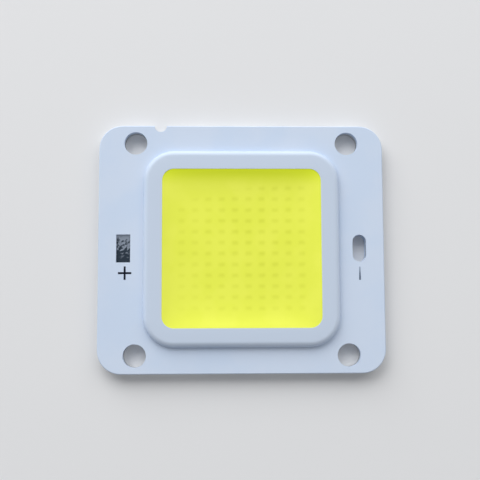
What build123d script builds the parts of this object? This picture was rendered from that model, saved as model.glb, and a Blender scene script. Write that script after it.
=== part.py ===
from build123d import *
import math
import os

# Driving dimensions in millimetres, angles in degrees.
# The part lies flat: X runs from the positive terminal to the negative one,
# Y runs towards the notched edge, Z points out of the light window, and the
# origin is the middle of the base plate's underside.

# Board outline and the two layers it is made of
board_length = 46.0
board_width = 40.0
board_corner_radius = 3.8
plate_thickness = 1.0
flange_thickness = 1.0
flange_edge_chamfer = 0.12

# Mounting holes, measured in from the board's edges
hole_diameter = 3.7
hole_inset_x = 5.9
hole_inset_y = 2.9

# Half-round locating notch in the far edge, measured in from the left edge
notch_inset = 9.9
notch_radius = 1.0

# Light window and the dam that frames it
window_size = 25.5
window_corner_radius = 1.9
window_draft = 8.0
dam_wall = 3.05
dam_height = 1.2
dam_draft = 10.0
dam_edge_radius = 0.9

# Lead-frame terminals moulded into the flange
terminal_thickness = 0.3
terminal_insulation = 0.3
terminal_inset = 4.0
terminal_land_margin = 0.6
terminal_neck_width = 3.0
terminal_lock_width = 0.8
terminal_lock_depth = 0.6
solder_window_width = 2.25
solder_window_length = 4.5
solder_slot_width = 2.2
solder_slot_length = 4.35
slot_lining = 0.5
lining_recess = 0.05
bus_exposed = 1.1
bus_anchor = 0.6
bus_overrun = 0.6
ledge_overrun = 0.4

# Series strings of dies on the plate
die_columns = 10
die_rows = 12
die_length = 0.89
die_width = 0.56
die_height = 0.15
die_margin_x = 1.35
die_margin_y = 2.53

# Bond wires along each string
wire_thickness = 0.03
wire_die_inset = 0.12
wire_bus_inset = 0.5
wire_loop_height = 0.2
wire_peak_run = 0.3

# Phosphor gel that fills the window, with a meniscus at the dam
gel_rim_drop = 0.02
gel_sag = 0.65
gel_meniscus_degree = 6

# Heights of the layers
plate_top = plate_thickness
flange_top = plate_top + flange_thickness
dam_top = flange_top + dam_height
terminal_bottom = plate_top + terminal_insulation
terminal_top = terminal_bottom + terminal_thickness
die_top = plate_top + die_height

# Places in plan
hole_pitch_x = board_length - 2 * hole_inset_x
hole_pitch_y = board_width - 2 * hole_inset_y
notch_x = notch_inset - board_length / 2
terminal_x = board_length / 2 - terminal_inset
dam_foot_size = window_size + 2 * dam_wall
dam_corner_radius = window_corner_radius + dam_wall

# The window narrows towards the plate by its draft
window_run = (dam_top - plate_top) * math.tan(math.radians(window_draft))
floor_size = window_size - 2 * window_run
floor_corner_radius = window_corner_radius - window_run
bus_wall_x = floor_size / 2 + (terminal_top - plate_top) * math.tan(math.radians(window_draft))
bus_inner_x = bus_wall_x - bus_exposed
bus_outer_x = bus_wall_x + bus_anchor

# The die field fills the floor up to its margins
field_length = 2 * (bus_inner_x - die_margin_x)
field_width = floor_size - 2 * die_margin_y
column_pitch = (field_length - die_length) / (die_columns - 1)
row_pitch = (field_width - die_width) / (die_rows - 1)
column_places = [column_pitch * (i - (die_columns - 1) / 2) for i in range(die_columns)]
row_places = [row_pitch * (i - (die_rows - 1) / 2) for i in range(die_rows)]
bus_length = row_places[-1] - row_places[0] + 2 * bus_overrun
pad_reach = die_length / 2 - wire_die_inset


def rising(sketch, bottom, height, taper=0.0):
    """Extrude a flat profile upwards from a height."""
    return Pos(0, 0, bottom) * extrude(sketch, amount=height, taper=taper)


def top_rim(shape):
    """Edges round the highest face."""
    return shape.faces().sort_by(Axis.Z)[-1].edges()


def punched(shape):
    """Cut the four mounting holes and the edge notch, which go through both layers."""
    cuts = GridLocations(hole_pitch_x, hole_pitch_y, 2, 2) * Circle(hole_diameter / 2)
    notch = Pos(notch_x, board_width / 2) * Circle(notch_radius)
    return shape - rising(Sketch() + cuts + notch, 0, dam_top)


def board_profile():
    return RectangleRounded(board_length, board_width, board_corner_radius)


def solder_slot(lining=0.0):
    """Upright slot at the negative terminal, grown all round by a lining."""
    length = solder_slot_length + 2 * lining
    width = solder_slot_width + 2 * lining
    return Pos(terminal_x, 0) * SlotOverall(length, width, rotation=90)


def base_plate():
    """Stamped aluminium plate that carries the dies and meets the heat sink."""
    plate = punched(rising(board_profile(), 0, plate_thickness))
    return plate - rising(solder_slot(slot_lining), 0, plate_thickness)


def terminal(side, opening):
    """Stamped terminal: outer land, neck under the dam, and bus bar in the window."""
    land_width = solder_window_width + 2 * terminal_land_margin
    land_length = solder_window_length + 2 * terminal_land_margin
    neck_length = terminal_x - bus_inner_x
    bus_width = bus_outer_x - bus_inner_x
    profile = Sketch() + Pos(terminal_x, 0) * Rectangle(land_width, land_length)
    profile += Pos(bus_inner_x + neck_length / 2, 0) * Rectangle(neck_length, terminal_neck_width)
    profile += Pos(bus_inner_x + bus_width / 2, 0) * Rectangle(bus_width, bus_length)
    lock_x = (bus_outer_x + terminal_x - land_width / 2) / 2
    lock_pitch = terminal_neck_width - terminal_lock_depth
    profile -= Pos(lock_x, 0) * GridLocations(0, lock_pitch, 1, 2) * Rectangle(terminal_lock_width, terminal_lock_depth)
    if opening is not None:
        profile -= opening
    blank = rising(profile, terminal_bottom, terminal_thickness)
    return blank if side > 0 else mirror(blank, about=Plane.YZ)


def window_void():
    """Space inside the dam above the plate, less the ledges that hold the bus bars."""
    floor = RectangleRounded(floor_size, floor_size, floor_corner_radius)
    void = rising(floor, plate_top, dam_top - plate_top, taper=-window_draft)
    ledge_reach = bus_outer_x - bus_inner_x
    ledge = Box(ledge_reach, bus_length + 2 * ledge_overrun, terminal_insulation)
    for side in (-1, 1):
        void -= Pos(side * (bus_inner_x + ledge_reach / 2), 0, plate_top + terminal_insulation / 2) * ledge
    return void


def moulded_housing(void, terminals):
    """White moulding: flange, dam and slot lining in one shot."""
    flange = rising(board_profile(), plate_top, flange_thickness)
    flange = chamfer(top_rim(flange), flange_edge_chamfer)
    dam_foot = RectangleRounded(dam_foot_size, dam_foot_size, dam_corner_radius)
    dam = rising(dam_foot, flange_top, dam_height, taper=dam_draft)
    dam = fillet(top_rim(dam), dam_edge_radius)
    housing = flange + dam - void
    housing += rising(solder_slot(slot_lining), lining_recess, plate_top - lining_recess)
    housing = punched(housing)
    housing -= rising(solder_slot(), 0, dam_top)
    solder_window = Rectangle(solder_window_width, solder_window_length)
    housing -= rising(Pos(-terminal_x, 0) * solder_window, terminal_top, dam_height)
    return housing - terminals


def die_string(row_y):
    """One row of dies, joined in series by its bond wires."""
    die = Box(die_length, die_width, die_height, align=(Align.CENTER, Align.CENTER, Align.MIN))
    return [Pos(x, row_y, plate_top) * die for x in column_places]


def bus_wire(start, finish):
    """Looped wire in the XZ plane between a bus bar and a die, its feet cut level with the pads."""
    peak = (start[0] + wire_peak_run, max(start[1], finish[1]) + wire_loop_height)
    chains = []
    for offset in (wire_thickness / 2, -wire_thickness / 2):
        lines = []
        for (ax, az), (bx, bz) in ((start, peak), (peak, finish)):
            run = math.hypot(bx - ax, bz - az)
            slope = (bz - az) / (bx - ax)
            lines.append((slope, az + offset * run / (bx - ax) - slope * ax))
        (rise, rise_base), (fall, fall_base) = lines
        bend_x = (fall_base - rise_base) / (rise - fall)
        start_foot = ((start[1] - rise_base) / rise, start[1])
        finish_foot = ((finish[1] - fall_base) / fall, finish[1])
        chains.append([start_foot, (bend_x, rise * bend_x + rise_base), finish_foot])
    upper, lower = chains
    profile = Plane.XZ * make_face(Polyline(*upper, *reversed(lower), close=True))
    return extrude(profile, amount=wire_thickness / 2, both=True)


def laid_wire(start_x, finish_x):
    """Straight wire laid over the tops of the dies from one place to another."""
    length = finish_x - start_x
    wire = Box(length, wire_thickness, wire_thickness, align=(Align.MIN, Align.CENTER, Align.MIN))
    return Pos(start_x, 0, die_top) * wire


def bus_wires(row_y):
    """The first and last wires of a string, which drop from the bus bars to the end dies."""
    bus_bond = (bus_inner_x + wire_bus_inset, terminal_top)
    die_bond = (column_places[-1] + pad_reach, die_top)
    first = bus_wire((-bus_bond[0], bus_bond[1]), (-die_bond[0], die_bond[1]))
    return [Pos(0, row_y, 0) * wire for wire in (first, bus_wire(die_bond, bus_bond))]


def die_wires(row_y):
    """The wires that join each die of a string to the next."""
    neighbours = zip(column_places, column_places[1:])
    return [Pos(0, row_y, 0) * laid_wire(a + pad_reach, b - pad_reach) for a, b in neighbours]


def wire_groove(row_y):
    """Groove in the gel that all the die wires of a string lie in."""
    return Pos(0, row_y, 0) * laid_wire(column_places[0] + pad_reach, column_places[-1] - pad_reach)


def meniscus():
    """Gel surface: level along the dam, dished in the middle by 1 - t^n in each direction."""
    reach = window_size / 2 + gel_rim_drop
    steps = range(gel_meniscus_degree + 1)
    dish = [2.0 * (i % 2) for i in steps]
    along = [reach * (2 * i / gel_meniscus_degree - 1) for i in steps]
    rim = dam_top - gel_rim_drop
    net = [[(along[i], along[j], rim - gel_sag * dish[i] * dish[j]) for j in steps] for i in steps]
    return Face.make_bezier_surface(net)


def phosphor_gel(void, sealed):
    """Gel poured over the dies and wires, up to just below the dam's inner edge."""
    above = extrude(meniscus(), amount=dam_height, dir=(0, 0, 1))
    return void - above - sealed


def save(name, solids):
    export_step(Compound(children=solids), os.path.join("parts", name + ".step"))


def main():
    os.makedirs("parts", exist_ok=True)
    positive = terminal(-1, None)
    negative = terminal(1, solder_slot())
    void = window_void()
    save("base_plate", [base_plate()])
    save("moulded_housing", [moulded_housing(void, [positive, negative])])
    save("positive_terminal", [positive])
    save("negative_terminal", [negative])
    sealed = [positive, negative]
    for number, row_y in enumerate(row_places, start=1):
        dies = die_string(row_y)
        ends = bus_wires(row_y)
        save(f"led_string_{number:02d}", dies)
        save(f"bond_wires_{number:02d}", ends + die_wires(row_y))
        sealed += dies + ends + [wire_groove(row_y)]
    save("phosphor_gel", [phosphor_gel(void, sealed)])


main()
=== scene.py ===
import math

import bmesh
import bpy
from bpy.props import FloatProperty, FloatVectorProperty, PointerProperty
from bpy.types import Operator, Panel, PropertyGroup
from mathutils import Euler, Matrix, Vector


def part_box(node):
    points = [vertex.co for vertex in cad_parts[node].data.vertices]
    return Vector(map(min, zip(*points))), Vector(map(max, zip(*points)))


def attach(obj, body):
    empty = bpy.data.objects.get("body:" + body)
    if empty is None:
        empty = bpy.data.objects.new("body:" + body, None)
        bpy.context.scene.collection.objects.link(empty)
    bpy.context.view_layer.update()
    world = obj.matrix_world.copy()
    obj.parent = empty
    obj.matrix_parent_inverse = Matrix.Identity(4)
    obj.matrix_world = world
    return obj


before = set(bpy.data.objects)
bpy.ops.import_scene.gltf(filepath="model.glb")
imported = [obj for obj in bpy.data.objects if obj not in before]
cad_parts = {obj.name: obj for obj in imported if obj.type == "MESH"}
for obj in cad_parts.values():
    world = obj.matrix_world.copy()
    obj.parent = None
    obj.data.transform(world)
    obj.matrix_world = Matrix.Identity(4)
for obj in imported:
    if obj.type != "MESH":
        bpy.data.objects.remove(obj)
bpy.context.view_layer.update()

bl_info = {
    "name": "COB LED Looks",
    "version": (1, 0, 0),
    "blender": (4, 5, 0),
    "location": "3D View > Sidebar > COB LED",
    "description": "Gives a chip-on-board LED its finishes, its polarity signs and a small studio",
    "category": "Object",
}

MM = 0.001
MICRON = 1e-6
WHITE = (1.0, 1.0, 1.0, 1.0)

# Pieces and sizes of the LED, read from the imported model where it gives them

TERMINALS = ["positive_terminal", "negative_terminal"]
STRINGS = sorted(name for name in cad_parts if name.startswith("led_string"))
WIRES = sorted(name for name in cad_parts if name.startswith("bond_wires"))
PLATE_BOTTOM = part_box("base_plate")[0].z
FLANGE_TOP = 2.0 * MM
DAM_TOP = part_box("moulded_housing")[1].z
GEL_FAR_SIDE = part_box("phosphor_gel")[1].y
DIE_COLUMNS = 10
DIE_LENGTH = 0.89 * MM
first_low, first_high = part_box("led_string_01")
second_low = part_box("led_string_02")[0]
COLUMN_PITCH = (first_high.x - first_low.x - DIE_LENGTH) / (DIE_COLUMNS - 1)
ROW_PITCH = abs(second_low.y - first_low.y)

# Form of the shared noise patterns, and how a solid's facets are shaded

CLOUD_DETAIL = 3.0
CLOUD_ROUGHNESS = 0.5
CLOUD_LOW = 0.36
CLOUD_HIGH = 0.64
GRAIN_DETAIL = 2.0
GRAIN_ROUGHNESS = 0.6
GRAIN_LOW = 0.25
GRAIN_HIGH = 0.75
WANDER_DETAIL = 1.0
NOISE_MIDDLE = (0.5, 0.5, 0.5)
EDGE_SAMPLES = 4
MERGE_DISTANCE = 0.2 * MICRON
SHARP_ANGLE = math.radians(32.0)

# How the corners of a printed stroke are rounded

OUTER_CORNER_ANGLE = 0.1
CORNER_SEGMENTS = 3


def srgb(red, green, blue):
    """Scene-linear colour of an 8-bit display colour."""
    def linear(value):
        level = value / 255.0
        if level <= 0.04045:
            return level / 12.92
        return ((level + 0.055) / 1.055) ** 2.4
    return (linear(red), linear(green), linear(blue), 1.0)


# Kinds of settings

def colour(name, description, default):
    """A colour setting."""
    return FloatVectorProperty(
        name=name, description=description, default=default, subtype="COLOR", size=4, min=0.0, max=1.0
    )


def length(name, description, default):
    """A length setting, in metres."""
    return FloatProperty(
        name=name, description=description, default=default, min=0.0, precision=6, unit="LENGTH"
    )


def spot(name, description, default):
    """A place on the LED, seen from above, in metres."""
    return FloatVectorProperty(
        name=name, description=description, default=default, size=2, precision=5, unit="LENGTH"
    )


def share(name, description, default):
    """A setting from nought to one."""
    return FloatProperty(
        name=name, description=description, default=default, min=0.0, max=1.0, subtype="FACTOR"
    )


def number(name, description, default):
    """A plain positive number."""
    return FloatProperty(name=name, description=description, default=default, min=0.0, precision=4)


def angle(name, description, degrees):
    """An angle setting, given in degrees."""
    return FloatProperty(
        name=name, description=description, default=math.radians(degrees), subtype="ANGLE"
    )


def lens_size(name, description, default):
    """A size of the camera, in millimetres."""
    return FloatProperty(
        name=name, description=description, default=default, min=1.0, subtype="DISTANCE_CAMERA"
    )


# Settings

class PlateFinish(PropertyGroup):
    """Look of the rolled aluminium base plate."""
    tone: colour("Tone", "Colour of the bare aluminium", srgb(203, 206, 209))
    streak_tone: colour("Streak tone", "Colour of the rolling streaks", srgb(176, 180, 185))
    streak_width: length("Streak width", "Width of one rolling streak", 0.12 * MM)
    streak_run: length("Streak run", "Length of one rolling streak", 9.0 * MM)
    shear_run: length("Shear run", "Length of one line down the sheared edge", 1.2 * MM)
    streak_height: length("Streak height", "Depth of the rolling streaks", 1.5 * MICRON)
    low_roughness: share("Low roughness", "Roughness of the smooth streaks", 0.26)
    high_roughness: share("High roughness", "Roughness of the dull streaks", 0.44)


class MouldingFinish(PropertyGroup):
    """Look of the white moulded housing."""
    tone: colour("Tone", "Main colour of the white moulding", srgb(200, 215, 236))
    second_tone: colour("Second tone", "Colour of its faint clouding", srgb(204, 217, 236))
    cloud_size: length("Cloud size", "Size of the faint clouds", 7.0 * MM)
    # The dam tone is a slightly darker, greyer colour that the top of the dam takes, fading in over the dam
    # fade below its top. Grain and roughness are the same as on the rest of the moulding.
    dam_tone: colour("Dam tone", "Colour of the smoother dam", srgb(196, 209, 227))
    dam_fade: length("Dam fade", "Height below the dam's top over which it takes that colour", 0.2 * MM)
    edge_round: length("Edge round", "Radius that the sharp edges seem to have", 0.03 * MM)
    grain_size: length("Grain size", "Size of the moulded grain", 0.16 * MM)
    grain_height: length("Grain height", "Height of the moulded grain", 2.0 * MICRON)
    low_roughness: share("Low roughness", "Roughness of the smooth spots", 0.46)
    high_roughness: share("High roughness", "Roughness of the dull spots", 0.58)
    gloss: share("Gloss", "Strength of the reflections", 0.15)


class GelFinish(PropertyGroup):
    """Look of the phosphor gel and of the dies that show through it."""
    tone: colour("Tone", "Main colour of the gel", srgb(237, 244, 91))
    second_tone: colour("Second tone", "Colour of the faint clouds in the gel", srgb(234, 242, 86))
    cloud_size: length("Cloud size", "Size of the clouds in the gel", 3.5 * MM)
    # Painted shade: the edge tone is a darker, more saturated yellow-green laid in a band along the gel's
    # far (+Y) side, where the dam's shadow falls on the gel. It fades in over the edge run.
    painted_shade_tone: colour("Edge tone", "Colour of the thick gel along the notched side", srgb(221, 235, 49))
    painted_shade_run: length("Edge run", "How far the thick gel reaches in from that side", 3.0 * MM)
    die_tone: colour("Die tone", "Colour of the gel over a die", srgb(221, 229, 75))
    shade_length: length("Shade length", "Length of the shade over one die", 0.98 * MM)
    shade_width: length("Shade width", "Width of the shade over one die", 0.58 * MM)
    shade_blur: length("Shade blur", "Softness of the shade's edge", 0.34 * MM)
    shade_jitter: length("Shade jitter", "How far a shade's edge wanders", 0.10 * MM)
    wander_size: length("Wander size", "Distance over which a shade's edge wanders", 1.25 * MM)
    faintest_share: share("Faintest share", "Strength of the faintest shade against the strongest", 0.65)
    clear_place: spot("Clear place", "Where the dies show best through the gel", (2.2 * MM, 1.6 * MM))
    clear_reach: length("Clear reach", "Distance from there at which the dies no longer show", 19.0 * MM)
    clear_strength: share("Clear strength", "How strongly the dies show there", 0.92)
    veil_slope: share("Veil slope", "Fall of the thick gel's edge across the window", 0.19)
    veil_start: length("Veil start", "Distance up the window where the gel starts to hide dies", 8.9 * MM)
    veil_full: length("Veil full", "Distance up the window where it hides them", 9.9 * MM)
    grain_size: length("Grain size", "Size of the phosphor grain", 0.10 * MM)
    grain_height: length("Grain height", "Height of the phosphor grain at the surface", 0.8 * MICRON)
    low_roughness: share("Low roughness", "Roughness of the smooth gel", 0.34)
    high_roughness: share("High roughness", "Roughness of the dull gel", 0.44)
    gloss: share("Gloss", "Strength of the reflections", 0.15)
    refraction: number("Refraction", "Refractive index of the silicone", 1.41)


class TerminalFinish(PropertyGroup):
    """Look of the plated lead-frame terminals."""
    # The plating turns to a darker colour in spots and towards the -Y end of the solder land.
    tone: colour("Tone", "Colour of the clean plating", srgb(130, 139, 152))
    dark_tone: colour("Tarnish tone", "Colour of the tarnished plating", srgb(48, 57, 67))
    land_length: length("Land length", "Length of the solder land that shows", 4.5 * MM)
    darkening_start: share("Tarnish start", "Place along the land where the tarnish starts", 0.20)
    darkening_full: share("Tarnish full", "Place along the land where the tarnish is full", 0.62)
    spot_size: length("Spot size", "Size of the tarnish spots", 0.42 * MM)
    spot_strength: share("Spot strength", "How far the spots shift the tarnish along the land", 0.34)
    grain_size: length("Grain size", "Size of the plating grain", 0.09 * MM)
    grain_height: length("Grain height", "Height of the plating grain", 4.0 * MICRON)
    low_roughness: share("Low roughness", "Roughness of the clean plating", 0.30)
    high_roughness: share("High roughness", "Roughness of the tarnished plating", 0.55)


class DieFinish(PropertyGroup):
    """Look of the dies and of their bond wires."""
    tone: colour("Tone", "Colour of a die", srgb(70, 96, 140))
    second_tone: colour("Second tone", "Colour of its electrode pattern", srgb(112, 132, 168))
    gold_tone: colour("Gold tone", "Colour of the bond wires", srgb(232, 190, 98))
    second_gold_tone: colour("Second gold tone", "Colour of the drawn streaks", srgb(214, 168, 78))
    drawn_share: share("Drawn share", "Width of a drawn streak against its length", 0.1)
    grain_size: length("Grain size", "Size of the pattern on a die", 0.06 * MM)
    low_roughness: share("Low roughness", "Roughness of the polished spots", 0.18)
    high_roughness: share("High roughness", "Roughness of the etched spots", 0.34)


class SignPrint(PropertyGroup):
    """Place, size and ink of the two polarity signs."""
    plus_place: spot("Plus place", "Middle of the plus sign", (-18.72 * MM, -3.95 * MM))
    minus_place: spot("Minus place", "Middle of the minus sign", (19.02 * MM, -4.05 * MM))
    reach: length("Reach", "Length of a sign's stroke", 2.14 * MM)
    stroke: length("Stroke", "Width of a sign's stroke", 0.32 * MM)
    film: length("Film", "Thickness of the ink", 0.012 * MM)
    rounding: length("Rounding", "Rounding of the stroke's corners", 0.05 * MM)
    worn_share: share("Worn share", "Width left at the worn end of the minus sign", 0.75)
    wear_start: share("Wear start", "Share of the reach below the middle where the wear starts", 0.3)
    wear_full: share("Wear full", "Share of the reach above the middle where the ink has gone", 0.5)
    tone: colour("Tone", "Colour of the ink", srgb(6, 13, 27))
    thin_tone: colour("Thin tone", "Colour of the ink where it is thin", srgb(12, 21, 38))
    worn_tone: colour("Worn tone", "Colour of the worn ink of the minus sign", srgb(88, 101, 122))
    faded_tone: colour("Faded tone", "Colour of the lighter specks in the worn ink", srgb(110, 122, 142))
    bare_tone: colour("Bare tone", "Colour where the ink has gone", srgb(156, 169, 190))
    speck_size: length("Speck size", "Size of the specks in the ink", 0.14 * MM)
    low_roughness: share("Low roughness", "Roughness of the thick ink", 0.42)
    high_roughness: share("High roughness", "Roughness of the thin ink", 0.60)
    gloss: share("Gloss", "Strength of the reflections", 0.1)


class StudioSetup(PropertyGroup):
    """Floor, light and camera."""
    floor_tone: colour("Floor tone", "Colour of the floor", srgb(226, 227, 229))
    floor_size: length("Floor size", "Side of the floor", 6.0)
    floor_gap: length("Floor gap", "Gap between the plate and the floor", 0.02 * MM)
    floor_roughness: share("Floor roughness", "Roughness of the floor", 0.9)
    floor_gloss: share("Floor gloss", "Strength of the floor's reflections", 0.1)
    backdrop_tone: colour("Backdrop tone", "Pale colour behind the object", srgb(226, 227, 229))
    dome_level: number("Dome level", "Brightness of the even dome", 0.33)
    softbox_size: length("Softbox size", "Width of each softbox", 1.0)
    softbox_distance: length("Softbox distance", "Distance of each softbox", 1.0)
    key_power: number("Key power", "Power of the main softbox in watts", 9.5)
    key_azimuth: angle("Key azimuth", "Direction of the main softbox, turned from the X axis", 120.0)
    key_elevation: angle("Key elevation", "Height of the main softbox above the horizon", 31.0)
    side_power: number("Side power", "Power of the second softbox in watts", 4.1)
    side_azimuth: angle("Side azimuth", "Direction of the second softbox, turned from the X axis", 60.0)
    side_elevation: angle("Side elevation", "Height of the second softbox above the horizon", 38.0)
    camera_place: FloatVectorProperty(
        name="Camera place", description="Place of the camera", size=3, subtype="TRANSLATION", precision=5,
        default=(-3.9186 * MM, -10.6757 * MM, 130.1316 * MM),
    )
    camera_turn: FloatVectorProperty(
        name="Camera turn", description="Turn of the camera", size=3, subtype="EULER",
        default=(math.radians(5.3606), math.radians(-1.6091), math.radians(-0.2171)),
    )
    focal_length: lens_size("Focal length", "Focal length of the camera", 60.0)
    sensor_width: lens_size("Sensor width", "Width of the camera's sensor", 36.0)
    near_clip: length("Near clip", "Nearest distance that the camera sees", 1.0 * MM)


class CobLedLooks(PropertyGroup):
    """All settings of the LED's looks."""
    plate: PointerProperty(type=PlateFinish)
    moulding: PointerProperty(type=MouldingFinish)
    gel: PointerProperty(type=GelFinish)
    terminal: PointerProperty(type=TerminalFinish)
    die: PointerProperty(type=DieFinish)
    sign: PointerProperty(type=SignPrint)
    studio: PointerProperty(type=StudioSetup)


# Sockets of the Mix node when it mixes colours

MIX_FACTOR = 0
MIX_FIRST = 6
MIX_SECOND = 7
MIX_RESULT = 2


# Node helpers

def place(tree, kind, inputs=None, **settings):
    """Add a node, apply its settings, and set or link its inputs by name or number."""
    node = tree.nodes.new(kind)
    for name, value in settings.items():
        setattr(node, name, value)
    for key, value in (inputs or {}).items():
        if isinstance(value, bpy.types.NodeSocket):
            tree.links.new(value, node.inputs[key])
        else:
            node.inputs[key].default_value = value
    return node


def calculate(tree, operation, first, second=0.0):
    """The result of one Math node."""
    return place(tree, "ShaderNodeMath", {0: first, 1: second}, operation=operation).outputs[0]


def blend_colours(tree, factor, first, second):
    """The colour between two colours."""
    inputs = {MIX_FACTOR: factor, MIX_FIRST: first, MIX_SECOND: second}
    return place(tree, "ShaderNodeMix", inputs, data_type="RGBA").outputs[MIX_RESULT]


def ramp(tree, value, from_low, from_high, to_low=0.0, to_high=1.0, soft=True):
    """Map a value from one range to another, with soft ends unless they are left straight."""
    inputs = {
        "Value": value, "From Min": from_low, "From Max": from_high, "To Min": to_low, "To Max": to_high
    }
    kind = "SMOOTHSTEP" if soft else "LINEAR"
    return place(tree, "ShaderNodeMapRange", inputs, interpolation_type=kind).outputs["Result"]


def axes_of(tree, coordinates):
    """The three axes of some coordinates, as outputs named X, Y and Z."""
    return place(tree, "ShaderNodeSeparateXYZ", {"Vector": coordinates}).outputs


def stretched(tree, coordinates, scale, start=(0.0, 0.0, 0.0)):
    """Coordinates scaled axis by axis, then moved to a new start."""
    inputs = {"Vector": coordinates, "Scale": scale, "Location": start}
    return place(tree, "ShaderNodeMapping", inputs).outputs["Vector"]


def new_group(name, inputs, outputs):
    """A shader node group with its sockets, its input node and its output node."""
    group = bpy.data.node_groups.new(name, "ShaderNodeTree")
    for socket, kind in inputs:
        group.interface.new_socket(socket, in_out="INPUT", socket_type=kind)
    for socket, kind in outputs:
        group.interface.new_socket(socket, in_out="OUTPUT", socket_type=kind)
    return group, group.nodes.new("NodeGroupInput"), group.nodes.new("NodeGroupOutput")


def noise_in(group, entry, detail, roughness):
    """The noise of a group that has a vector and a scale among its inputs."""
    inputs = {
        "Vector": entry.outputs["Vector"], "Scale": entry.outputs["Scale"],
        "Detail": detail, "Roughness": roughness,
    }
    return place(group, "ShaderNodeTexNoise", inputs).outputs[0]


def clouding_group():
    """Two colours in soft clouds, with the clouds as a mask."""
    name = "Clouding"
    if name in bpy.data.node_groups:
        return bpy.data.node_groups[name]
    group, entry, leave = new_group(
        name,
        [("Vector", "NodeSocketVector"), ("Scale", "NodeSocketFloat"),
         ("First", "NodeSocketColor"), ("Second", "NodeSocketColor")],
        [("Color", "NodeSocketColor"), ("Mask", "NodeSocketFloat")],
    )
    noise = noise_in(group, entry, CLOUD_DETAIL, CLOUD_ROUGHNESS)
    mask = ramp(group, noise, CLOUD_LOW, CLOUD_HIGH)
    mixed = blend_colours(group, mask, entry.outputs["First"], entry.outputs["Second"])
    group.links.new(mixed, leave.inputs["Color"])
    group.links.new(mask, leave.inputs["Mask"])
    return group


def grain_group():
    """Fine grain as a height, and a roughness that follows it."""
    name = "Fine Grain"
    if name in bpy.data.node_groups:
        return bpy.data.node_groups[name]
    group, entry, leave = new_group(
        name,
        [("Vector", "NodeSocketVector"), ("Scale", "NodeSocketFloat"),
         ("Low Roughness", "NodeSocketFloat"), ("High Roughness", "NodeSocketFloat")],
        [("Height", "NodeSocketFloat"), ("Roughness", "NodeSocketFloat")],
    )
    noise = noise_in(group, entry, GRAIN_DETAIL, GRAIN_ROUGHNESS)
    height = ramp(group, noise, GRAIN_LOW, GRAIN_HIGH, soft=False)
    low = entry.outputs["Low Roughness"]
    high = entry.outputs["High Roughness"]
    roughness = ramp(group, height, 0.0, 1.0, low, high, soft=False)
    group.links.new(height, leave.inputs["Height"])
    group.links.new(roughness, leave.inputs["Roughness"])
    return group


def use_clouding(tree, vector, size, first, second):
    """Place the clouding group with its own size and colours."""
    inputs = {"Vector": vector, "Scale": 1.0 / size, "First": first, "Second": second}
    return place(tree, "ShaderNodeGroup", inputs, node_tree=clouding_group()).outputs


def use_grain(tree, vector, size, finish):
    """Place the grain group with its own size and the roughness of a finish."""
    inputs = {
        "Vector": vector, "Scale": 1.0 / size,
        "Low Roughness": finish.low_roughness, "High Roughness": finish.high_roughness,
    }
    return place(tree, "ShaderNodeGroup", inputs, node_tree=grain_group()).outputs


# Materials and objects

def new_material(name):
    """A material with its node tree and its shader."""
    material = bpy.data.materials.new(name)
    material.use_nodes = True
    tree = material.node_tree
    return material, tree, tree.nodes["Principled BSDF"]


def own_coordinates(tree):
    """The coordinates of the object that wears the material."""
    return place(tree, "ShaderNodeTexCoord").outputs["Object"]


def paint(tree, shader, tone, grain):
    """Drive the shader with a colour and with the roughness of a grain."""
    tree.links.new(tone, shader.inputs["Base Color"])
    tree.links.new(grain["Roughness"], shader.inputs["Roughness"])


def add_bump(tree, shader, grain, distance, normal=None):
    """Raise the surface by a grain, over another normal where one is given."""
    bump = place(tree, "ShaderNodeBump", {"Strength": 1.0, "Distance": distance, "Height": grain["Height"]})
    if normal is not None:
        tree.links.new(normal, bump.inputs["Normal"])
    tree.links.new(bump.outputs["Normal"], shader.inputs["Normal"])


def soft_shading_tree():
    """Geometry nodes that join loose triangles and shade them smooth up to a sharp edge."""
    name = "Soft Shading"
    if name in bpy.data.node_groups:
        return bpy.data.node_groups[name]
    tree = bpy.data.node_groups.new(name, "GeometryNodeTree")
    tree.interface.new_socket("Geometry", in_out="INPUT", socket_type="NodeSocketGeometry")
    tree.interface.new_socket("Geometry", in_out="OUTPUT", socket_type="NodeSocketGeometry")
    entry = place(tree, "NodeGroupInput")
    joined = place(
        tree, "GeometryNodeMergeByDistance", {"Geometry": entry.outputs[0], "Distance": MERGE_DISTANCE}
    )
    edge_angle = place(tree, "GeometryNodeInputMeshEdgeAngle")
    sharp = place(
        tree, "FunctionNodeCompare", {0: edge_angle.outputs["Unsigned Angle"], 1: SHARP_ANGLE},
        data_type="FLOAT", operation="GREATER_THAN",
    )
    faces = place(
        tree, "GeometryNodeSetShadeSmooth", {"Geometry": joined.outputs[0], "Shade Smooth": True},
        domain="FACE",
    )
    edges = place(
        tree, "GeometryNodeSetShadeSmooth",
        {"Geometry": faces.outputs[0], "Selection": sharp.outputs[0], "Shade Smooth": False},
        domain="EDGE",
    )
    place(tree, "NodeGroupOutput", {0: edges.outputs[0]})
    return tree


def dress(names, material):
    """Give nodes one material and soft shading."""
    for name in names:
        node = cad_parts[name]
        node.data.materials.clear()
        node.data.materials.append(material)
        modifier = node.modifiers.new("Soft Shading", "NODES")
        modifier.node_group = soft_shading_tree()


def add_object(name, data):
    """Put a new object into the scene."""
    made = bpy.data.objects.new(name, data)
    bpy.context.scene.collection.objects.link(made)
    return made


def add_mesh(name, shape, material):
    """Turn a bmesh into an object of one material."""
    mesh = bpy.data.meshes.new(name)
    shape.to_mesh(mesh)
    shape.free()
    mesh.materials.append(material)
    return add_object(name, mesh)


def add_piece(name, shape, material):
    """Turn a bmesh into a piece of the LED that rides on its body."""
    bmesh.ops.recalc_face_normals(shape, faces=shape.faces)
    piece = add_mesh(name, shape, material)
    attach(piece, "root")


# Operators

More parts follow.
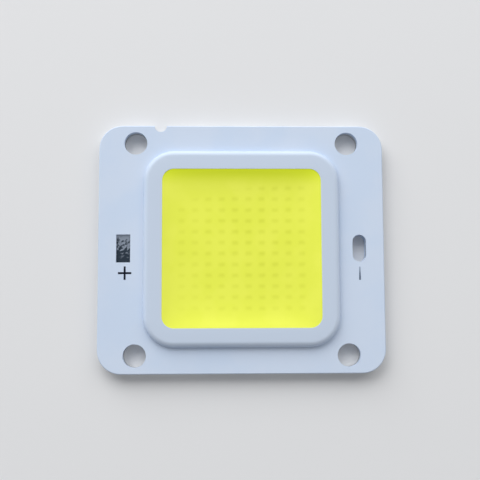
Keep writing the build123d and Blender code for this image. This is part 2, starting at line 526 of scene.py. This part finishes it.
class COB_LED_OT_set_stage(Operator):
    """Set up the floor, the light and the camera"""
    bl_idname = "cob_led.set_stage"
    bl_label = "Set Stage"

    def lay_floor(self, studio):
        """A pale floor just under the plate."""
        material, _, shader = new_material("studio_floor")
        shader.inputs["Base Color"].default_value = studio.floor_tone
        shader.inputs["Roughness"].default_value = studio.floor_roughness
        shader.inputs["Specular IOR Level"].default_value = studio.floor_gloss
        shape = bmesh.new()
        bmesh.ops.create_grid(shape, x_segments=1, y_segments=1, size=studio.floor_size / 2.0)
        bmesh.ops.translate(shape, vec=(0.0, 0.0, PLATE_BOTTOM - studio.floor_gap), verts=shape.verts)
        add_mesh("studio_floor", shape, material)

    def light_dome(self, studio):
        """An even dome, which the camera and reflections see as the pale backdrop."""
        world = bpy.data.worlds.new("studio_dome")
        bpy.context.scene.world = world
        world.use_nodes = True
        tree = world.node_tree
        tree.nodes.clear()
        dome = place(tree, "ShaderNodeBackground", {"Color": WHITE, "Strength": studio.dome_level})
        backdrop = place(tree, "ShaderNodeBackground", {"Color": studio.backdrop_tone})
        rays = place(tree, "ShaderNodeLightPath").outputs
        seen = calculate(tree, "MAXIMUM", rays["Is Camera Ray"], rays["Is Glossy Ray"])
        seen = calculate(tree, "MAXIMUM", seen, rays["Is Transmission Ray"])
        mixed = place(tree, "ShaderNodeMixShader", {0: seen, 1: dome.outputs[0], 2: backdrop.outputs[0]})
        place(tree, "ShaderNodeOutputWorld", {"Surface": mixed.outputs[0]})

    def hang_softbox(self, studio, name, power, azimuth, elevation):
        """A round softbox that faces the LED from an azimuth and an elevation."""
        lamp = bpy.data.lights.new(name, "AREA")
        lamp.shape = "DISK"
        lamp.size = studio.softbox_size
        lamp.energy = power
        towards = Euler((0.0, -elevation, azimuth)).to_matrix() @ Vector((1.0, 0.0, 0.0))
        turn = towards.to_track_quat("Z", "Y").to_matrix().to_4x4()
        softbox = add_object(name, lamp)
        softbox.matrix_world = Matrix.Translation(towards * studio.softbox_distance) @ turn

    def set_camera(self, studio):
        """The camera, nearly straight above the LED."""
        lens = bpy.data.cameras.new("studio_camera")
        lens.lens = studio.focal_length
        lens.sensor_width = studio.sensor_width
        lens.clip_start = studio.near_clip
        camera = add_object("studio_camera", lens)
        turn = Euler(studio.camera_turn).to_matrix().to_4x4()
        camera.matrix_world = Matrix.Translation(studio.camera_place) @ turn
        bpy.context.scene.camera = camera

    def execute(self, context):
        studio = context.scene.cob_led.studio
        context.scene.view_settings.view_transform = "Standard"
        self.lay_floor(studio)
        self.light_dome(studio)
        self.hang_softbox(
            studio, "key_softbox", studio.key_power, studio.key_azimuth, studio.key_elevation
        )
        self.hang_softbox(
            studio, "side_softbox", studio.side_power, studio.side_azimuth, studio.side_elevation
        )
        self.set_camera(studio)
        return {"FINISHED"}


class COB_LED_OT_dress_base_plate(Operator):
    """Give the base plate its rolled aluminium finish"""
    bl_idname = "cob_led.dress_base_plate"
    bl_label = "Dress Base Plate"

    def execute(self, context):
        finish = context.scene.cob_led.plate
        material, tree, shader = new_material("rolled_aluminium")
        width = finish.streak_width
        scale = (width / finish.streak_run, 1.0, width / finish.shear_run)
        streaks = stretched(tree, own_coordinates(tree), scale)
        tone = use_clouding(tree, streaks, width, finish.streak_tone, finish.tone)
        grain = use_grain(tree, streaks, width, finish)
        paint(tree, shader, tone["Color"], grain)
        shader.inputs["Metallic"].default_value = 1.0
        add_bump(tree, shader, grain, finish.streak_height)
        dress(["base_plate"], material)
        return {"FINISHED"}


class COB_LED_OT_dress_housing(Operator):
    """Give the moulded housing its white plastic"""
    bl_idname = "cob_led.dress_housing"
    bl_label = "Dress Moulded Housing"

    def execute(self, context):
        finish = context.scene.cob_led.moulding
        material, tree, shader = new_material("white_moulding")
        coordinates = own_coordinates(tree)
        tone = use_clouding(tree, coordinates, finish.cloud_size, finish.tone, finish.second_tone)
        # The top of the dam takes the slightly darker, greyer dam tone.
        on_dam = ramp(tree, axes_of(tree, coordinates)["Z"], DAM_TOP - finish.dam_fade, DAM_TOP)
        moulded = blend_colours(tree, on_dam, tone["Color"], finish.dam_tone)
        grain = use_grain(tree, coordinates, finish.grain_size, finish)
        paint(tree, shader, moulded, grain)
        shader.inputs["Specular IOR Level"].default_value = finish.gloss
        rounded = place(tree, "ShaderNodeBevel", {"Radius": finish.edge_round}, samples=EDGE_SAMPLES)
        add_bump(tree, shader, grain, finish.grain_height, rounded.outputs["Normal"])
        dress(["moulded_housing"], material)
        return {"FINISHED"}


class COB_LED_OT_dress_terminals(Operator):
    """Give the terminals their plating, darker in spots and towards the -Y end of the solder land"""
    bl_idname = "cob_led.dress_terminals"
    bl_label = "Dress Terminals"

    def execute(self, context):
        finish = context.scene.cob_led.terminal
        material, tree, shader = new_material("terminal_plating")
        coordinates = own_coordinates(tree)
        half_land = finish.land_length / 2.0
        along = axes_of(tree, coordinates)["Y"]
        # The plating darkens in spots and towards the -Y end of the solder land.
        fall = ramp(tree, along, -half_land, half_land, 1.0, 0.0, soft=False)
        spots = use_clouding(tree, coordinates, finish.spot_size, finish.tone, finish.dark_tone)
        shift = finish.spot_strength
        speckle = ramp(tree, spots["Mask"], 0.0, 1.0, -shift, shift, soft=False)
        spread = calculate(tree, "ADD", fall, speckle)
        darkening = ramp(tree, spread, finish.darkening_start, finish.darkening_full)
        plating = blend_colours(tree, darkening, finish.tone, finish.dark_tone)
        grain = use_grain(tree, coordinates, finish.grain_size, finish)
        paint(tree, shader, plating, grain)
        shader.inputs["Metallic"].default_value = 1.0
        add_bump(tree, shader, grain, finish.grain_height)
        dress(TERMINALS, material)
        return {"FINISHED"}


class COB_LED_OT_dress_gel(Operator):
    """Give the gel its phosphor colour, with the dies showing through as soft shades"""
    bl_idname = "cob_led.dress_gel"
    bl_label = "Dress Phosphor Gel"

    def wandering(self, tree, coordinates, finish):
        """Coordinates that wander a little, so that no two shades are alike."""
        inputs = {"Vector": coordinates, "Scale": 1.0 / finish.wander_size, "Detail": WANDER_DETAIL}
        wander = place(tree, "ShaderNodeTexNoise", inputs).outputs["Color"]
        centred = place(tree, "ShaderNodeVectorMath", {0: wander, 1: NOISE_MIDDLE}, operation="SUBTRACT")
        reach = (2.0 * finish.shade_jitter,) * 3
        inputs = {0: centred.outputs[0], 1: reach, 2: coordinates}
        return place(tree, "ShaderNodeVectorMath", inputs, operation="MULTIPLY_ADD").outputs[0]

    def stripes(self, tree, across, pitch, count, span, blur):
        """Soft stripes across one axis, one over each die of the field."""
        folded = calculate(tree, "PINGPONG", across, pitch / 2.0)
        off_centre = calculate(tree, "SUBTRACT", pitch / 2.0, folded)
        stripe = ramp(tree, off_centre, span / 2.0 - blur, span / 2.0 + blur, 1.0, 0.0)
        from_middle = calculate(tree, "ABSOLUTE", across)
        in_field = calculate(tree, "LESS_THAN", from_middle, pitch * count / 2.0)
        return calculate(tree, "MULTIPLY", stripe, in_field)

    def die_shades(self, tree, coordinates, finish):
        """A mask that is one over each die and fades out round it."""
        axes = axes_of(tree, self.wandering(tree, coordinates, finish))
        blur = finish.shade_blur
        columns = self.stripes(tree, axes["X"], COLUMN_PITCH, DIE_COLUMNS, finish.shade_length, blur)
        rows = self.stripes(tree, axes["Y"], ROW_PITCH, len(STRINGS), finish.shade_width, blur)
        return calculate(tree, "MULTIPLY", columns, rows)

    def clearness(self, tree, coordinates, finish):
        """How clearly the dies show: best near the middle, and not under the thick gel by one corner."""
        scale = 1.0 / finish.clear_reach
        start = (-finish.clear_place[0] * scale, -finish.clear_place[1] * scale, 0.0)
        centred = stretched(tree, coordinates, (scale, scale, 0.0), start)
        squared = place(tree, "ShaderNodeVectorMath", {0: centred, 1: centred}, operation="DOT_PRODUCT")
        clear = ramp(tree, squared.outputs["Value"], 0.0, 1.0, finish.clear_strength, 0.0, soft=False)
        axes = axes_of(tree, coordinates)
        lean = calculate(tree, "MULTIPLY", axes["X"], finish.veil_slope)
        across = calculate(tree, "SUBTRACT", axes["Y"], lean)
        unveiled = ramp(tree, across, finish.veil_start, finish.veil_full, 1.0, 0.0)
        return calculate(tree, "MULTIPLY", clear, unveiled)

    def execute(self, context):
        finish = context.scene.cob_led.gel
        material, tree, shader = new_material("phosphor_gel")
        coordinates = own_coordinates(tree)
        tone = use_clouding(tree, coordinates, finish.cloud_size, finish.tone, finish.second_tone)
        # Painted shade: the gel darkens to the edge tone towards its far (+Y) side, where the dam shades
        # it.
        far = axes_of(tree, coordinates)["Y"]
        thick = ramp(tree, far, GEL_FAR_SIDE - finish.painted_shade_run, GEL_FAR_SIDE)
        with_painted_shade = blend_colours(tree, thick, tone["Color"], finish.painted_shade_tone)
        shade = self.die_shades(tree, coordinates, finish)
        strength = ramp(tree, tone["Mask"], 0.0, 1.0, finish.faintest_share, 1.0, soft=False)
        shade = calculate(tree, "MULTIPLY", shade, strength)
        shade = calculate(tree, "MULTIPLY", shade, self.clearness(tree, coordinates, finish))
        shaded = blend_colours(tree, shade, with_painted_shade, finish.die_tone)
        grain = use_grain(tree, coordinates, finish.grain_size, finish)
        paint(tree, shader, shaded, grain)
        shader.inputs["Specular IOR Level"].default_value = finish.gloss
        shader.inputs["IOR"].default_value = finish.refraction
        add_bump(tree, shader, grain, finish.grain_height)
        dress(["phosphor_gel"], material)
        return {"FINISHED"}


class COB_LED_OT_dress_dies(Operator):
    """Give the dies their blue chips"""
    bl_idname = "cob_led.dress_dies"
    bl_label = "Dress Dies"

    def execute(self, context):
        finish = context.scene.cob_led.die
        material, tree, shader = new_material("die_chip")
        coordinates = own_coordinates(tree)
        tone = use_clouding(tree, coordinates, finish.grain_size, finish.tone, finish.second_tone)
        paint(tree, shader, tone["Color"], use_grain(tree, coordinates, finish.grain_size, finish))
        dress(STRINGS, material)
        return {"FINISHED"}


class COB_LED_OT_dress_bond_wires(Operator):
    """Give the bond wires their drawn gold"""
    bl_idname = "cob_led.dress_bond_wires"
    bl_label = "Dress Bond Wires"

    def execute(self, context):
        finish = context.scene.cob_led.die
        material, tree, shader = new_material("bond_gold")
        drawn = stretched(tree, own_coordinates(tree), (finish.drawn_share, 1.0, 1.0))
        tone = use_clouding(tree, drawn, finish.grain_size, finish.gold_tone, finish.second_gold_tone)
        paint(tree, shader, tone["Color"], use_grain(tree, drawn, finish.grain_size, finish))
        shader.inputs["Metallic"].default_value = 1.0
        dress(WIRES, material)
        return {"FINISHED"}


class COB_LED_OT_print_signs(Operator):
    """Print the plus and the minus sign on the flange as thin films of ink"""
    bl_idname = "cob_led.print_signs"
    bl_label = "Print Polarity Signs"

    def film_block(self, sign, width, reach):
        """A block of ink, centred, with half of it above the flange's face."""
        shape = bmesh.new()
        bmesh.ops.create_cube(shape, size=1.0)
        bmesh.ops.scale(shape, vec=(width, reach, 2.0 * sign.film), verts=shape.verts)
        return shape

    def is_outer_corner(self, sign, edge):
        """Whether an edge of the ink is upright and sticks out."""
        rise = abs(edge.verts[0].co.z - edge.verts[1].co.z)
        return rise > sign.film and edge.calc_face_angle_signed(0.0) > OUTER_CORNER_ANGLE

    def settle(self, sign, shape, middle):
        """Round the outer corners of the ink and set it on the flange."""
        corners = [edge for edge in shape.edges if self.is_outer_corner(sign, edge)]
        bmesh.ops.bevel(
            shape, geom=corners, offset=sign.rounding, offset_type="OFFSET", segments=CORNER_SEGMENTS,
            profile=0.5, affect="EDGES", material=-1,
        )
        bmesh.ops.translate(shape, vec=(middle[0], middle[1], FLANGE_TOP), verts=shape.verts)

    def wear_off(self, tree, coordinates, sign, tone):
        """Fade the ink of the minus sign towards its worn end."""
        along = axes_of(tree, coordinates)["Y"]
        middle = sign.minus_place[1]
        start = middle - sign.wear_start * sign.reach
        full = middle + sign.wear_full * sign.reach
        return blend_colours(tree, ramp(tree, along, start, full), tone, sign.bare_tone)

    def ink(self, name, sign, first, second, worn):
        """Ink with lighter specks where it is thin, which fades along the sign if it is worn."""
        material, tree, shader = new_material(name)
        coordinates = own_coordinates(tree)
        tone = use_clouding(tree, coordinates, sign.speck_size, first, second)["Color"]
        if worn:
            tone = self.wear_off(tree, coordinates, sign, tone)
        paint(tree, shader, tone, use_grain(tree, coordinates, sign.speck_size, sign))
        shader.inputs["Specular IOR Level"].default_value = sign.gloss
        return material

    def print_plus(self, sign):
        """A square of ink with an arm drawn out of each side."""
        shape = self.film_block(sign, sign.stroke, sign.stroke)
        sides = [face for face in shape.faces if round(face.normal.z) == 0]
        arm = (sign.reach - sign.stroke) / 2.0
        for side in bmesh.ops.extrude_discrete_faces(shape, faces=sides)["faces"]:
            bmesh.ops.translate(shape, vec=side.normal * arm, verts=side.verts)
        self.settle(sign, shape, sign.plus_place)
        add_piece("plus_sign", shape, self.ink("printed_ink", sign, sign.tone, sign.thin_tone, False))

    def print_minus(self, sign):
        """A stroke of ink, narrower at its worn end."""
        shape = self.film_block(sign, sign.stroke, sign.reach)
        worn_end = [vertex for vertex in shape.verts if vertex.co.y > 0.0]
        bmesh.ops.scale(shape, vec=(sign.worn_share, 1.0, 1.0), verts=worn_end)
        self.settle(sign, shape, sign.minus_place)
        add_piece("minus_sign", shape, self.ink("worn_ink", sign, sign.worn_tone, sign.faded_tone, True))

    def execute(self, context):
        sign = context.scene.cob_led.sign
        self.print_plus(sign)
        self.print_minus(sign)
        return {"FINISHED"}


STEPS = (
    COB_LED_OT_set_stage,
    COB_LED_OT_dress_base_plate,
    COB_LED_OT_dress_housing,
    COB_LED_OT_dress_terminals,
    COB_LED_OT_dress_gel,
    COB_LED_OT_dress_dies,
    COB_LED_OT_dress_bond_wires,
    COB_LED_OT_print_signs,
)


class COB_LED_PT_looks(Panel):
    """Lists the steps that dress the LED"""
    bl_idname = "COB_LED_PT_looks"
    bl_label = "COB LED Looks"
    bl_space_type = "VIEW_3D"
    bl_region_type = "UI"
    bl_category = "COB LED"

    def draw(self, context):
        column = self.layout.column(align=True)
        for step in STEPS:
            column.operator(step.bl_idname)


CLASSES = (
    PlateFinish,
    MouldingFinish,
    GelFinish,
    TerminalFinish,
    DieFinish,
    SignPrint,
    StudioSetup,
    CobLedLooks,
    *STEPS,
    COB_LED_PT_looks,
)


def register():
    """Register the classes and hang the settings on the scene."""
    for each in CLASSES:
        bpy.utils.register_class(each)
    bpy.types.Scene.cob_led = PointerProperty(type=CobLedLooks)


def unregister():
    """Take the settings and the classes away again."""
    del bpy.types.Scene.cob_led
    for each in reversed(CLASSES):
        bpy.utils.unregister_class(each)


def main():
    """Register the add-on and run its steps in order."""
    register()
    bpy.ops.cob_led.set_stage()
    bpy.ops.cob_led.dress_base_plate()
    bpy.ops.cob_led.dress_housing()
    bpy.ops.cob_led.dress_terminals()
    bpy.ops.cob_led.dress_gel()
    bpy.ops.cob_led.dress_dies()
    bpy.ops.cob_led.dress_bond_wires()
    bpy.ops.cob_led.print_signs()


if __name__ == "__main__":
    main()
